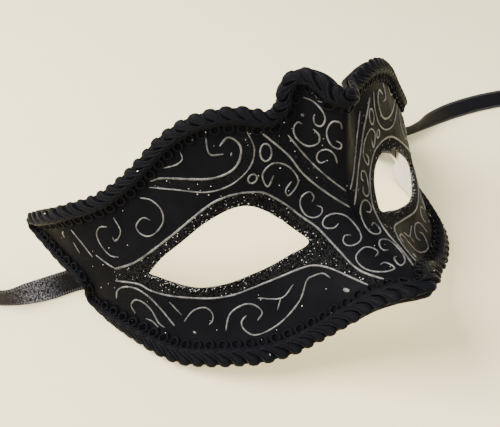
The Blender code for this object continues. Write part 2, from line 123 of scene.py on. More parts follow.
# Raised silver lines of the half: width, then knots of along, up
SCROLLS = {
    "over_eye": (1.0, [
        (85.6, -4.6), (75.8, -2.5), (62.6, 3.7), (50.7, 9.9), (43.1, 13.2), (36.1, 14.2), (29.8, 13.6),
        (24.8, 12.0), (19.0, 6.8), (15.3, 1.8), (11.9, -3.0), (9.9, -9.6), (8.9, -15.3), (5.5, -18.0),
    ]),
    "under_eye": (0.85, [
        (87.2, -9.1), (77.8, -10.5), (72.8, -13.4), (65.9, -15.8), (57.2, -17.5), (49.8, -18.5),
        (43.1, -18.5), (36.3, -17.5), (27.7, -15.8), (21.2, -14.0), (17.5, -13.4), (14.3, -14.6),
        (10.8, -17.9), (9.6, -19.1),
    ]),
    "brow_inner": (0.75, [(16.0, 29.5), (10.7, 20.5), (5.6, 12.8), (0.9, 6.9)]),
    "brow_outer": (0.9, [
        (24.8, 32.5), (16.9, 23.3), (13.4, 17.0), (10.0, 12.1), (5.3, 6.2), (1.0, 1.4),
    ]),
    "crest_hook": (0.75, [
        (9.8, 39.9), (7.7, 38.2), (6.0, 35.0), (5.4, 32.1), (6.3, 30.0), (7.7, 31.0), (7.9, 33.1),
        (7.5, 34.1),
    ]),
    "crest_tick": (0.65, [(7.1, 40.0), (6.4, 37.8), (5.1, 37.3)]),
    "crest_curl": (0.75, [
        (11.0, 31.8), (12.2, 32.7), (13.8, 31.1), (13.6, 28.3), (11.6, 25.5), (9.6, 24.3), (7.4, 24.8),
        (7.0, 27.2), (8.3, 29.6),
    ]),
    "crest_leaf": (0.7, [
        (1.5, 28.0), (1.9, 30.0), (3.7, 30.9), (5.0, 29.1), (5.2, 26.4), (4.1, 23.2), (2.0, 21.6),
        (1.6, 23.2), (3.1, 24.6),
    ]),
    "crest_snail": (0.7, [
        (5.9, 18.5), (7.3, 18.2), (8.2, 19.9), (7.4, 21.9), (5.3, 22.2), (3.5, 20.1), (2.8, 17.0),
    ]),
    "brow_loop_outer": (0.65, [
        (29.2, 33.7), (27.6, 27.7), (29.9, 21.9), (36.3, 17.8), (44.9, 17.1), (55.7, 19.9), (64.2, 22.1),
    ]),
    "brow_loop_inner": (0.95, [
        (63.5, 24.0), (59.2, 24.3), (48.6, 22.1), (42.1, 21.2), (36.4, 22.1), (33.1, 24.8), (32.0, 29.5),
        (35.3, 33.0), (38.7, 30.9),
    ]),
    "brow_hook": (0.75, [(42.6, 34.5), (42.7, 30.4), (41.5, 28.6), (37.8, 28.2)]),
    "brow_small_hook": (0.6, [(59.0, 27.5), (54.2, 27.7), (51.4, 29.1), (51.6, 31.4)]),
    "bridge_curl": (0.75, [
        (22.0, 17.7), (24.1, 14.2), (25.7, 18.6), (23.0, 21.4), (19.7, 21.2), (16.2, 18.4), (14.4, 13.6),
        (17.6, 9.6), (18.5, 11.7), (16.5, 14.2),
    ]),
    "nose_curl": (0.7, [
        (11.3, 5.8), (10.4, 7.3), (11.5, 9.4), (14.0, 8.2), (14.8, 5.3), (14.0, 2.1), (12.1, 0.6),
        (9.7, 1.2), (8.9, 3.2), (10.2, 4.3),
    ]),
    "nose_wave": (0.7, [
        (6.0, -2.7), (7.7, -3.7), (9.8, -3.3), (10.2, -1.7), (8.6, 0.1), (5.6, 0.5), (2.8, -1.3),
        (1.5, -5.2), (2.1, -7.9), (4.4, -9.2), (6.9, -9.3), (7.4, -8.0), (6.1, -6.5), (4.4, -6.7),
    ]),
    "nose_tip_curl": (0.7, [
        (2.8, -13.0), (0.9, -12.2), (1.5, -11.0), (3.5, -10.5), (6.4, -11.7), (7.7, -13.3), (7.5, -15.2),
        (5.8, -16.1), (3.0, -16.3), (0.9, -15.9), (1.8, -14.6), (3.4, -14.8),
    ]),
    "temple_stroke": (0.65, [(97.9, 11.0), (95.6, 5.4), (93.6, 0.1)]),
    "temple_short": (0.5, [(99.9, 5.9), (99.4, 1.5)]),
    "temple_crescent": (0.9, [(102.6, 10.4), (103.7, 9.3), (104.1, 7.6)]),
    "temple_low": (0.75, [(91.6, 0.9), (87.4, -3.0), (84.8, -4.4)]),
    "temple_hook": (0.6, [(79.0, 13.9), (78.0, 8.8), (81.0, 5.6), (81.8, 7.2)]),
    "temple_bow": (0.6, [(82.5, 10.9), (85.4, 11.1), (87.6, 8.6), (87.5, 4.5), (85.3, 0.6), (82.0, -0.3)]),
    "temple_curl": (0.65, [
        (68.1, 19.2), (64.6, 17.9), (61.9, 14.3), (62.0, 10.2), (65.3, 6.9), (68.6, 5.9), (71.1, 7.3),
        (71.9, 9.7), (70.3, 11.7), (68.3, 12.4), (66.4, 11.2),
    ]),
    "cheek_outer": (0.8, [
        (90.4, -16.2), (88.1, -13.0), (83.9, -11.5), (78.9, -12.3), (74.5, -15.5), (70.8, -20.5),
        (67.4, -26.4),
    ]),
    "cheek_inner": (0.75, [
        (83.3, -21.7), (83.9, -18.7), (81.2, -16.6), (77.9, -17.4), (75.0, -20.7), (73.8, -25.0),
        (71.8, -26.8),
    ]),
    "cheek_tail": (0.7, [(79.0, -23.5), (76.4, -24.5), (74.5, -26.7)]),
    "cheek_stroke": (0.65, [(66.8, -17.9), (65.0, -20.5), (63.3, -22.9)]),
    "cheek_arc": (0.7, [
        (63.1, -25.2), (58.6, -21.9), (54.2, -21.2), (52.0, -23.3), (52.4, -25.7), (54.3, -27.1),
    ]),
    "cheek_spiral": (0.75, [
        (49.1, -29.5), (46.6, -25.3), (43.9, -23.3), (39.7, -22.3), (36.7, -23.6), (35.6, -26.0),
        (37.8, -28.1),
    ]),
    "cheek_wave": (0.75, [
        (40.7, -25.9), (42.9, -27.6), (43.1, -29.9), (40.6, -32.1), (35.5, -31.5), (30.0, -28.8),
        (24.7, -23.6), (21.0, -17.7), (18.7, -16.3), (16.5, -15.8), (15.7, -17.1),
    ]),
    "cheek_fork": (0.65, [(35.7, -21.1), (29.0, -22.3), (24.4, -18.4)]),
    "cheek_stem": (0.6, [(29.0, -22.3), (31.0, -25.9)]),
}

# Small rings beside the scrolls: along, up, half width, half height
RINGS = {"brow_ring": (29.0, 18.1, 1.5, 1.5), "brow_oval": (24.0, 25.7, 1.9, 2.8)}
RING_LINE = 0.36
RING_HEIGHT_SHARE = 0.8
RING_STEPS = 24

# Drops of paint beside the scrolls: along, up, radius; then each drop's own shape, as shifts and shares
DROPS = {
    "crest_drop": (10.6, 34.5, 0.8), "cheek_drop": (60.5, -29.0, 0.5), "nose_drop": (14.4, -20.2, 1.0),
    "brow_splash": (35.3, 27.6, 1.0),
}
DROP_SHIFTS = (-0.5, -0.2, 0.2, 0.5)
DROP_SHARES = (0.5, 1.0, 1.0, 0.5)
DROP_LEAN = 0.4

# The right half's triangle beside the V is plain, and its brow has no splash
LEFT_ONLY = (
    "crest_hook", "crest_tick", "crest_curl", "crest_leaf", "crest_snail", "crest_drop", "brow_splash",
)

# How the lines look drawn by hand: the length and the last share of their tapered ends, and the waves in
# their width, each its height, its turns a millimetre and its shift from line to line
SCROLL_STEP = 0.6
END_LENGTH = 1.4
END_SHARE = 0.4
WAVES = ((0.10, 1.1, 2.3), (0.08, 2.9, 1.0))

# Bands between two scrolls that carry black glitter, with its strength
GLITTER_BANDS = {
    ("over_eye", "under_eye"): 1.0,
    ("brow_outer", "brow_inner"): 0.35,
    ("brow_loop_outer", "brow_loop_inner"): 0.35,
    ("cheek_outer", "cheek_inner"): 0.2,
}
BAND_PIECES = 6

# Width of the rim of dense glitter round the eye hole
EYE_RIM = 1.5

# Shares of the glitter's grains: dim ones in a band, bright ones in a band, at the eye's rim and anywhere
DIM_GRAINS = 0.4
DIM_STRENGTH = 0.03
BRIGHT_IN_BAND = 0.010
BRIGHT_AT_RIM = 0.10
BRIGHT_ANYWHERE = 0.0007

# Gimp braid, in millimetres
BRAID_WIDTH = 9.0
BRAID_OVERHANG = 1.0
BRAID_PITCH = 4.66
TAPE_STEP = 1.6

# Section of the tape under the cords: in from the outer edge, height over the shell
TAPE_SECTION = [(0.9, 0.45), (0.9, 1.15), (3.8, 1.6), (5.7, 0.9), (5.7, 0.45)]

# Steps along the edge, how much finer its outline is, how far its directions and widths are evened out,
# in steps, the share of a bend's radius that the braid may fill, the least bend that counts, and where
# across the braid's width its length is measured
EDGE_STEP = 0.5
EDGE_FINENESS = 6.0
DIRECTION_REACH = 8
WIDTH_REACH = 9
BEND_SHARE = 0.9
LEAST_BEND = 0.001
SPINE_SHARE = 0.45

# Satin ties, in millimetres. The solid ones that they stand for are thicker.
RIBBON_THICKNESS = 0.35
SOLID_THICKNESS = 1.0
GLUE_GAP = 1.1
FLOOR_GAP = 0.2
RIBBON_STEP = 0.9
RIBBON_COLUMNS = 13

# Where the selvedge starts and where it is thicker, as shares of the width from the middle, how much
# thicker, and how deep the ribbon is cupped and how often that changes sides
SELVEDGE_FROM = 0.40
THICK_EDGE_FROM = 0.44
THICK_EDGE = 1.25
CUP_DEPTH = 0.35
CUP_TURNS = 0.05
CUP_START = 0.6
RIB_PITCH = 0.9

# Stretch of the left tie with a painted sheen: its satin's colour is made lighter there
PAINTED_SHEEN_SIDE = 97.0
PAINTED_SHEEN_REACH = 7.0

# Each tie: glued to the inner wall (along, up), falling from it (side, back, height, lean), then loose on
# the surface (side, back, lean)
LEFT_TIE = {
    "glued": [(93.0, -20.5), (98.0, -18.0), (103.0, -15.5)],
    "falling": [],
    "loose": [
        (76.2, 31.0, 6.0), (77.4, 35.4, 10.0), (82.5, 37.8, 15.0), (91.0, 38.6, 18.0), (99.0, 39.7, 8.0),
        (107.5, 41.8, -10.0), (117.0, 49.6, 4.0),
    ],
}
RIGHT_TIE = {
    "glued": [(99.0, -5.0), (103.0, -4.2), (106.5, -3.4)],
    "falling": [(78.2, 43.0, 12.5, 0.0), (81.2, 49.6, 7.5, 0.0)],
    "loose": [
        (88.0, 52.6, -5.0), (97.0, 53.0, -15.0), (107.0, 51.8, -22.0), (116.0, 51.9, -15.0),
        (128.0, 53.8, 5.0), (148.0, 55.2, 24.0), (168.0, 54.4, 32.0), (184.0, 51.8, 32.0),
        (196.0, 48.8, 30.0),
    ],
}

# Camera, in metres, and its lens and sensor in millimetres
CAMERA_PLACE = (-0.1035, -0.11932, 0.16176)
CAMERA_RIGHT = (0.8472, -0.5309, 0.0174)
CAMERA_UP = (0.3311, 0.5534, 0.7642)
CAMERA_LENS = 38.89
SENSOR_WIDTH = 36.0
NEAREST_SEEN = 0.005

# Soft lights, in metres: each one's share of the key light's power
LIGHTS = {
    "key": {
        "place": (-0.58, 0.30, 0.76), "aim": (0.0, 0.0, 0.02), "size": 0.60, "share": 1.0,
        "colour": (1.0, 0.97, 0.92),
    },
    "front": {
        "place": (-0.7, -0.6, 0.7), "aim": (0.0, 0.0, 0.03), "size": 0.70, "share": 0.35,
        "colour": (1.0, 0.98, 0.95),
    },
}
FLOOR_SIZE = 4.0
FILL_COLOUR = (1.0, 0.99, 0.97)


class MaskShellSettings(PropertyGroup):
    """Finish of the moulded shell"""

    outer_colour: FloatVectorProperty(
        name="Outer colour", description="Black of the shell's face", subtype="COLOR",
        default=(0.0028, 0.0028, 0.0036), min=0.0, max=1.0)
    inner_colour: FloatVectorProperty(
        name="Inner colour", description="Bare plastic behind the face", subtype="COLOR",
        default=(0.62, 0.59, 0.53), min=0.0, max=1.0)
    gloss: FloatProperty(
        name="Roughness", description="Roughness of the black paint", subtype="FACTOR",
        default=0.48, min=0.0, max=1.0)
    glitter_size: FloatProperty(
        name="Glitter size", description="Size of a grain of glitter in millimetres",
        default=0.27, min=0.1, max=2.0)


class MaskScrollSettings(PropertyGroup):
    """Raised silver scrolls"""

    colour: FloatVectorProperty(
        name="Silver", description="Colour of the silver paint", subtype="COLOR",
        default=(0.16, 0.16, 0.157), min=0.0, max=1.0)
    height: FloatProperty(
        name="Height", description="Height of the lines over the shell in millimetres",
        default=0.32, min=0.1, max=2.0)
    line_scale: FloatProperty(
        name="Line width", description="Factor on the width of every line", default=0.86, min=0.3, max=3.0)


class MaskBraidSettings(PropertyGroup):
    """Gimp braid round the edge"""

    colour: FloatVectorProperty(
        name="Braid", description="Colour of the cords", subtype="COLOR",
        default=(0.0022, 0.0023, 0.0034), min=0.0, max=1.0)
    ring_cord: FloatProperty(
        name="Ring cord", description="Radius of the cord of the inner rings in millimetres",
        default=0.33, min=0.1, max=1.0)


class MaskRibbonSettings(PropertyGroup):
    """Satin ties"""

    colour: FloatVectorProperty(
        name="Satin", description="Colour of the ribbon", subtype="COLOR",
        default=(0.005, 0.005, 0.007), min=0.0, max=1.0)
    width: FloatProperty(
        name="Width", description="Width of the ribbon in millimetres", default=10.0, min=3.0, max=30.0)


class MaskStageSettings(PropertyGroup):
    """Floor and light"""

    floor_colour: FloatVectorProperty(
        name="Floor", description="Colour of the plain floor", subtype="COLOR",
        default=(0.98, 0.87, 0.54), min=0.0, max=1.0)
    key_power: FloatProperty(
        name="Key light", description="Power of the large soft light", unit="POWER",
        default=25.0, min=0.0, max=200.0)
    fill: FloatProperty(
        name="Fill", description="Strength of the even light all round", default=1.12, min=0.0, max=5.0)


def curve_points(knots, pieces=16):
    """Closely spaced points on a smooth curve through the knots."""
    knots = [np.array(knot, float) for knot in knots]
    points = []
    for index in range(len(knots) - 1):
        start, end = knots[index], knots[index + 1]
        before = knots[index - 1] if index > 0 else 2 * start - end
        after = knots[index + 2] if index + 2 < len(knots) else 2 * end - start
        for share in np.linspace(0.0, 1.0, pieces, endpoint=False):
            points.append(0.5 * (
                2 * start + (end - before) * share
                + (2 * before - 5 * start + 4 * end - after) * share ** 2
                + (3 * start - before - 3 * end + after) * share ** 3))
    points.append(knots[-1])
    return np.array(points)


def distances(points):
    """Distance of each point from the first, along the line."""
    return np.concatenate([[0.0], np.cumsum(np.linalg.norm(np.diff(points, axis=0), axis=1))])


def unit(vectors):
    """Vectors of length 1 in the same directions."""
    return vectors / np.linalg.norm(vectors, axis=-1, keepdims=True)


def spaced(points, lengths, wanted):
    """Points of a line at the wanted distances along it."""
    return np.stack([np.interp(wanted, lengths, values) for values in points.T], axis=-1)


def even_steps(points, lengths, steps):
    """Points of a line at equal distances along it, ends included."""
    return spaced(points, lengths, np.linspace(0.0, lengths[-1], steps + 1))


def smooth_line(knots, steps):
    """Points at equal distances on a smooth curve through the knots, ends included."""
    dense = curve_points(knots)
    return even_steps(dense, distances(dense), steps)


def joined(*lines):
    """One line from lines that each start where the last one ended."""
    return np.concatenate([lines[0]] + [line[1:] for line in lines[1:]])


PLAN = curve_points(PLAN_KNOTS)
PLAN_LENGTHS = distances(PLAN)


def rise(value, start, soft):
    """Goes smoothly from 0 well below start to 1 well above it."""
    return 1.0 / (1.0 + np.exp(-(value - start) / soft))


def bell(value, width):
    """1 in the middle, falling smoothly to 0 on both sides."""
    return np.exp(-((value / width) ** 2))


def face(along, up):
    """Places on the outer face of the worn mask; a negative distance is on the viewer's left."""
    along, up = np.asarray(along, float), np.asarray(up, float)
    distance = np.abs(along)
    across = np.interp(distance, PLAN_LENGTHS, PLAN[:, 0])
    back = np.interp(distance, PLAN_LENGTHS, PLAN[:, 1]) + np.maximum(0.0, distance - PLAN_LENGTHS[-1])
    side = across / HALF_WIDTH
    x = across + (SIDE_FLARE * side ** 5 - FRONT_TAPER * side) * up
    y = back + (FRONT_LEAN + SIDE_LEAN * side ** 2) * up
    keel = bell(x, BROW_KEEL["width"])
    y = y - BROW_KEEL["forward"] * keel * rise(up, BROW_KEEL["start"], BROW_KEEL["soft"])
    y = y - NOSE["forward"] * bell(x, NOSE["width"]) * rise(-up, -NOSE["start"], NOSE["soft"])
    lip = bell(x - CHEEK_LIP["across"], CHEEK_LIP["width"])
    y = y - CHEEK_LIP["forward"] * lip * rise(-up, -CHEEK_LIP["start"], CHEEK_LIP["soft"])
    socket = bell(x - EYE_SOCKET["across"], EYE_SOCKET["radius"])
    y = y + EYE_SOCKET["back"] * socket * bell(up - EYE_SOCKET["up"], EYE_SOCKET["radius"])
    return np.stack([np.where(along < 0.0, -x, x), y, up], axis=-1)


def face_axes(along, up, step):
    """How places on the face move with the distance along and with the height, a millimetre each."""
    along, up = np.asarray(along, float), np.asarray(up, float)
    across = face(along + step, up) - face(along - step, up)
    upward = face(along, up + step) - face(along, up - step)
    return across / (2.0 * step), upward / (2.0 * step)


def face_normals(along, up):
    """Unit normals that point out of the worn mask's face."""
    return unit(np.cross(*face_axes(along, up, NORMAL_STEP)))


def at_rest(points):
    """Worn places in millimetres as they lie on the surface, in metres."""
    points = np.asarray(points, float)
    cos, sin = math.cos(LEAN_BACK), math.sin(LEAN_BACK)
    x, y, z = points[..., 0], points[..., 1], points[..., 2]
    return np.stack([x, REST_BACK + y * cos + z * sin, REST_UP - y * sin + z * cos], axis=-1) * MM


def on_face(along, up, lift):
    """Places at a height over the mask's face, in metres, at rest."""
    lift = np.asarray(lift, float)[..., None] if np.ndim(lift) else lift
    return at_rest(face(along, up) + face_normals(along, up) * lift)


def in_scene(name, data):
    """A new object, linked to the scene."""
    thing = bpy.data.objects.new(name, data)
    bpy.context.scene.collection.objects.link(thing)
    return thing


def new_piece(name, points, faces, material):
    """A smooth mesh object at the origin with its place in its mesh."""
    mesh = bpy.data.meshes.new(name)
    mesh.from_pydata([tuple(point) for point in points], [], [tuple(corners) for corners in faces])
    mesh.shade_smooth()
    mesh.materials.append(material)
    return in_scene(name, mesh)


def store(piece, **layers):
    """Keeps values on the mesh's points, one for each, for the paint to read."""
    for name, values in layers.items():
        layer = piece.data.attributes.new(name, "FLOAT", "POINT")
        layer.data.foreach_set("value", np.asarray(values, np.float32))


def only_select(piece):
    """Selects one piece and nothing else, and makes it the active one."""
    bpy.ops.object.select_all(action="DESELECT")
    piece.select_set(True)
    bpy.context.view_layer.objects.active = piece


def outward_normals(piece, merge=0.0):
    """Turns the faces outwards in edit mode, once doubles nearer than the merge distance are merged."""
    only_select(piece)
    bpy.ops.object.mode_set(mode="EDIT")
    bpy.ops.mesh.select_all(action="SELECT")
    if merge:
        bpy.ops.mesh.remove_doubles(threshold=merge)
    bpy.ops.mesh.normals_make_consistent(inside=False)
    bpy.ops.object.mode_set(mode="OBJECT")


def tube_faces(stations, sides, closed=False):
    """Faces of a tube whose points are listed station by station, with its ends closed."""
    faces = []
    for station in range(stations if closed else stations - 1):
        here = station * sides
        there = (station + 1) % stations * sides
        for side in range(sides):
            after = (side + 1) % sides
            faces.append((here + side, here + after, there + after, there + side))
    if not closed:
        faces.append(tuple(range(sides))[::-1])
        faces.append(tuple((stations - 1) * sides + side for side in range(sides)))
    return faces


class Paint:
    """A material and short ways to add nodes to it."""

    def __init__(self, name):
        self.material = bpy.data.materials.new(name)
        self.material.use_nodes = True
        self.nodes = self.material.node_tree.nodes
        self.links = self.material.node_tree.links
        self.shader = self.nodes["Principled BSDF"]
        self.place = self.nodes.new("ShaderNodeTexCoord").outputs["Object"]

    def set(self, **sockets):
        """Gives the shader's sockets, by their names in lower case, a constant or another node's output."""
        for name, value in sockets.items():
            socket = self.shader.inputs[name.replace("_", " ").title().replace("Ior", "IOR")]
            if isinstance(value, bpy.types.NodeSocket):
                self.links.new(value, socket)
            else:
                socket.default_value = (*value, 1.0) if hasattr(value, "__len__") else value

    def noise(self, grain, detail=2.0, roughness=0.5):
        """Noise whose grain is about that many millimetres."""
        node = self.nodes.new("ShaderNodeTexNoise")
        node.inputs["Scale"].default_value = 1000.0 / grain
        node.inputs["Detail"].default_value = detail
        node.inputs["Roughness"].default_value = roughness
        self.links.new(self.place, node.inputs["Vector"])
        return node.outputs["Fac"]

    def grains(self, grain):
        """One random colour for each grain of that many millimetres."""
        node = self.nodes.new("ShaderNodeTexVoronoi")
        node.inputs["Scale"].default_value = 1000.0 / grain
        self.links.new(self.place, node.inputs["Vector"])
        return node.outputs["Color"]

    def maths(self, operation, first, second=0.0, third=0.0):
        """A value worked out from up to three values or outputs."""
        node = self.nodes.new("ShaderNodeMath")
        node.operation = operation
        for socket, value in zip(node.inputs, (first, second, third)):
            if isinstance(value, bpy.types.NodeSocket):
                self.links.new(value, socket)
            else:
                socket.default_value = value
        return node.outputs[0]

    def span(self, value, low, high, to_low=0.0, to_high=1.0):
        """The value's range from low to high, stretched to another range and kept inside it."""
        node = self.nodes.new("ShaderNodeMapRange")
        self.links.new(value, node.inputs["Value"])
        ends = {"From Min": low, "From Max": high, "To Min": to_low, "To Max": to_high}
        for name, number in ends.items():
            node.inputs[name].default_value = number
        return node.outputs["Result"]

    def mix(self, share, first, second):
        """A colour between two colours."""
        node = self.nodes.new("ShaderNodeMix")
        node.data_type = "RGBA"
        self.links.new(share, node.inputs["Factor"])
        for index, value in ((6, first), (7, second)):
            if isinstance(value, bpy.types.NodeSocket):
                self.links.new(value, node.inputs[index])
            else:
                node.inputs[index].default_value = (*value, 1.0)
        return node.outputs[2]

    def channel(self, colour, name):
        """One channel of a colour."""
        node = self.nodes.new("ShaderNodeSeparateColor")
        self.links.new(colour, node.inputs[0])
        return node.outputs[name]

    def painted(self, name):
        """A value stored on the mesh's points."""
        node = self.nodes.new("ShaderNodeAttribute")
        node.attribute_name = name
        return node.outputs["Fac"]

    def bump(self, height, distance, normal=None):
        """Bump of that many millimetres."""
        node = self.nodes.new("ShaderNodeBump")
        node.inputs["Distance"].default_value = distance * MM
        self.links.new(height, node.inputs["Height"])
        if normal:
            self.links.new(normal, node.inputs["Normal"])
        return node.outputs["Normal"]


def scaled(colour, factor):
    """A lighter or darker colour."""
    return tuple(factor * value for value in colour)


def black_shell_paint(settings):
    """Satin black paint; black glitter where the mesh says so, with a few bright grains."""
    paint = Paint("black_shell_paint")
    grains = paint.grains(settings.glitter_size)
    chance = paint.channel(grains, "Red")
    shine = paint.channel(grains, "Green")
    band = paint.painted("glitter")
    rim = paint.painted("eye_rim")
    dim = paint.maths("MULTIPLY", paint.maths("GREATER_THAN", chance, 1.0 - DIM_GRAINS), DIM_STRENGTH)
    scarce = paint.maths("MULTIPLY_ADD", rim, -BRIGHT_AT_RIM, 1.0)
    scarce = paint.maths("MULTIPLY_ADD", band, -BRIGHT_IN_BAND, scarce)
    bright = paint.maths("GREATER_THAN", chance, scarce)
    in_band = paint.maths("MAXIMUM", paint.maths("MULTIPLY", dim, band), bright)
    anywhere = paint.maths("GREATER_THAN", chance, 1.0 - BRIGHT_ANYWHERE)
    glint = paint.maths("MAXIMUM", in_band, anywhere)
    glint = paint.maths("MULTIPLY", glint, paint.span(shine, 0.0, 1.0, 0.15, 1.0))
    clouds = paint.span(paint.noise(9.0, 3.0), 0.3, 0.7)
    mottled = paint.mix(clouds, settings.outer_colour, scaled(settings.outer_colour, 1.5))
    banded = paint.mix(band, mottled, scaled(settings.outer_colour, 0.6))
    rough = paint.span(paint.noise(4.0, 3.0), 0.3, 0.7, settings.gloss - 0.05, settings.gloss + 0.08)
    waves = paint.bump(paint.noise(1.6, 2.0), 0.05)
    paint.set(
        base_color=paint.mix(glint, banded, (0.62, 0.62, 0.60)),
        roughness=paint.maths("MULTIPLY_ADD", band, 0.2, rough), specular_ior_level=0.015,
        normal=paint.bump(paint.maths("MULTIPLY", band, shine), 0.15, waves))
    return paint.material


def bare_plastic(settings):
    """Off-white moulded plastic behind the face, a little dusty."""
    paint = Paint("bare_plastic")
    dust = paint.span(paint.noise(14.0, 4.0, 0.6), 0.3, 0.7)
    paint.set(
        base_color=paint.mix(dust, scaled(settings.inner_colour, 0.88), settings.inner_colour),
        roughness=0.55, normal=paint.bump(paint.noise(0.8, 2.0), 0.06))
    return paint.material


def silver_paint(settings):
    """Silver glitter paint, thin in places so that the black shows through."""
    paint = Paint("silver_paint")
    worn = paint.span(paint.noise(4.0, 4.0, 0.65), 0.38, 0.60, 0.12, 1.0)
    sparkle = paint.span(paint.channel(paint.grains(0.3), "Red"), 0.0, 1.0, 0.30, 1.0)
    shade = paint.mix(sparkle, scaled(settings.colour, 0.45), settings.colour)
    paint.set(
        base_color=paint.mix(worn, (0.02, 0.02, 0.022), shade), metallic=0.35, roughness=0.42,
        normal=paint.bump(paint.noise(0.35, 1.0), 0.10))
    return paint.material


def braid_thread(settings):
    """Dull black rayon thread with fine lighter fibres and a stray grain of glitter."""
    paint = Paint("braid_thread")
    fibres = paint.span(paint.noise(0.28, 2.0), 0.35, 0.7)
    thread = paint.mix(fibres, settings.colour, scaled(settings.colour, 2.0))
    speck = paint.maths("GREATER_THAN", paint.channel(paint.grains(0.45), "Red"), 0.9996)
    paint.set(
        base_color=paint.mix(speck, thread, (0.7, 0.7, 0.68)), roughness=0.45, sheen_weight=0.02,
        sheen_roughness=0.4, specular_ior_level=0.035, normal=paint.bump(paint.noise(0.22, 1.0), 0.08))
    return paint.material


def ribbon_satin(settings):
    """Black satin: fine ribs across the ribbon, dotted edges and a painted sheen, lighter colour where the
    mesh says so.
    """
    paint = Paint("ribbon_satin")
    selvedge = paint.maths("GREATER_THAN", paint.painted("selvedge"), 0.5)
    rib = paint.maths("SINE", paint.maths("MULTIPLY", paint.painted("rib"), 2.0 * math.pi / RIB_PITCH))
    dots = paint.maths("MULTIPLY", paint.maths("GREATER_THAN", rib, 0.35), selvedge)
    flecks = paint.span(paint.noise(0.6, 3.0, 0.7), 0.45, 0.65)
    # Painted sheen: flecks of lighter colour where the mesh marks the satin as catching the light
    gleam = paint.maths("MULTIPLY", paint.painted("gleam"), flecks)
    satin = paint.mix(gleam, settings.colour, (0.20, 0.20, 0.25))
    paint.set(
        base_color=paint.mix(paint.maths("MULTIPLY", dots, 0.35), satin, (0.20, 0.20, 0.21)),
        roughness=0.38, specular_ior_level=0.04, normal=paint.bump(paint.noise(0.5, 1.0), 0.02))
    return paint.material


def inside_outline(points, outline):
    """Which points lie inside a closed outline."""
    inside = np.zeros(len(points), bool)
    x, y = points[:, 0], points[:, 1]
    for (x0, y0), (x1, y1) in zip(outline, np.roll(outline, -1, axis=0)):
        crosses = (y0 > y) != (y1 > y)
        with np.errstate(divide="ignore", invalid="ignore"):
            limit = (x1 - x0) * (y - y0) / (y1 - y0) + x0
        inside ^= crosses & (x < limit)
    return inside


def outline_half(side, scale=1.0):
    """The outline of one half from under the nose to the V over the brow."""
    return joined(
        smooth_line(CHEEK_EDGE, round(CHEEK_STEPS * scale)),
        smooth_line(TEMPLE_EDGE + BROW_EDGE[side], round(TEMPLE_STEPS * scale)),
        smooth_line(HUMP_EDGE[side], round(HUMP_STEPS * scale)))


def lofted_faces(count):
    """Faces of one half of the shell for that many columns: the front with its rims, and the back."""
    total = (SHELL_RINGS + 1) * count
    front = []
    for here in range(0, SHELL_RINGS * count, count):
        for column in range(count):
            after = (column + 1) % count
            front.append((here + column, here + after, here + count + after, here + count + column))
    back = [tuple(index + total for index in reversed(corners)) for corners in front]
    last = SHELL_RINGS * count
    rims = [(column, column + 1) for column in range(count - NOSE_LINE_STEPS)]
    rims += [(last + (column + 1) % count, last + column) for column in range(count)]
    return front + [(after, here, here + total, after + total) for here, after in rims], back


def glitter_strengths(places):
    """How much glitter each place of the face carries."""
    strengths = np.zeros(len(places))
    for (first, second), strength in GLITTER_BANDS.items():
        there = curve_points(SCROLLS[first][1], BAND_PIECES)
        back = curve_points(SCROLLS[second][1], BAND_PIECES)
        if np.linalg.norm(there[-1] - back[0]) > np.linalg.norm(there[-1] - back[-1]):
            back = back[::-1]
        strengths = np.maximum(strengths, strength * inside_outline(places, np.concatenate([there, back])))
    return strengths


class MASK_OT_shell(Operator):
    """Lofts the fine shell between outline and eye holes and gives it its wall"""

    bl_idname = "mask.shell"
    bl_label = "Shell"

    def execute(self, context):
        settings = context.scene.mask_shell
        eye = joined(
            smooth_line(LOWER_LID, CHEEK_STEPS), smooth_line(UPPER_LID, TEMPLE_STEPS),
            smooth_line(BROW_CORNER, HUMP_STEPS), smooth_line(NOSE_CORNER, NOSE_LINE_STEPS))[:-1]
        front, back = lofted_faces(len(eye))
        shares = np.linspace(0.0, 1.0, SHELL_RINGS + 1)[:, None, None]
        points, grids, rims_near = [], [], []
        for side, sign in (("right", 1.0), ("left", -1.0)):
            nose_line = smooth_line([HUMP_EDGE[side][-1], CHEEK_EDGE[0]], NOSE_LINE_STEPS)
            outline = joined(outline_half(side), nose_line)[:-1]
            grid = (outline + (eye - outline) * shares).reshape(-1, 2)
            away = (np.linalg.norm(eye - outline, axis=1) * (1.0 - shares[:, :, 0])).ravel()
            for lift in (0.0, -SHELL_WALL):
                half = on_face(grid[:, 0], grid[:, 1], lift)
                half[grid[:, 0] < ON_NOSE_LINE, 0] = 0.0
                points.append(half * (sign, 1.0, 1.0))
                grids.append(grid)
                rims_near.append(np.clip(1.0 - away / EYE_RIM, 0.0, 1.0))
        one_half = len(points[0]) + len(points[1])
        mirrored = [tuple(index + one_half for index in reversed(corners)) for corners in front + back]
        shell = new_piece("shell_face", np.concatenate(points), front + back + mirrored,
                          black_shell_paint(settings))
        shell.data.materials.append(bare_plastic(settings))
        slots = np.repeat([0, 1, 0, 1], [len(front), len(back)] * 2).astype(np.int32)
        shell.data.polygons.foreach_set("material_index", slots)
        store(shell, glitter=glitter_strengths(np.concatenate(grids)), eye_rim=np.concatenate(rims_near))
        outward_normals(shell, MERGE_DISTANCE)
        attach(shell, "root")
        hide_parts("mask_shell")
        return {"FINISHED"}


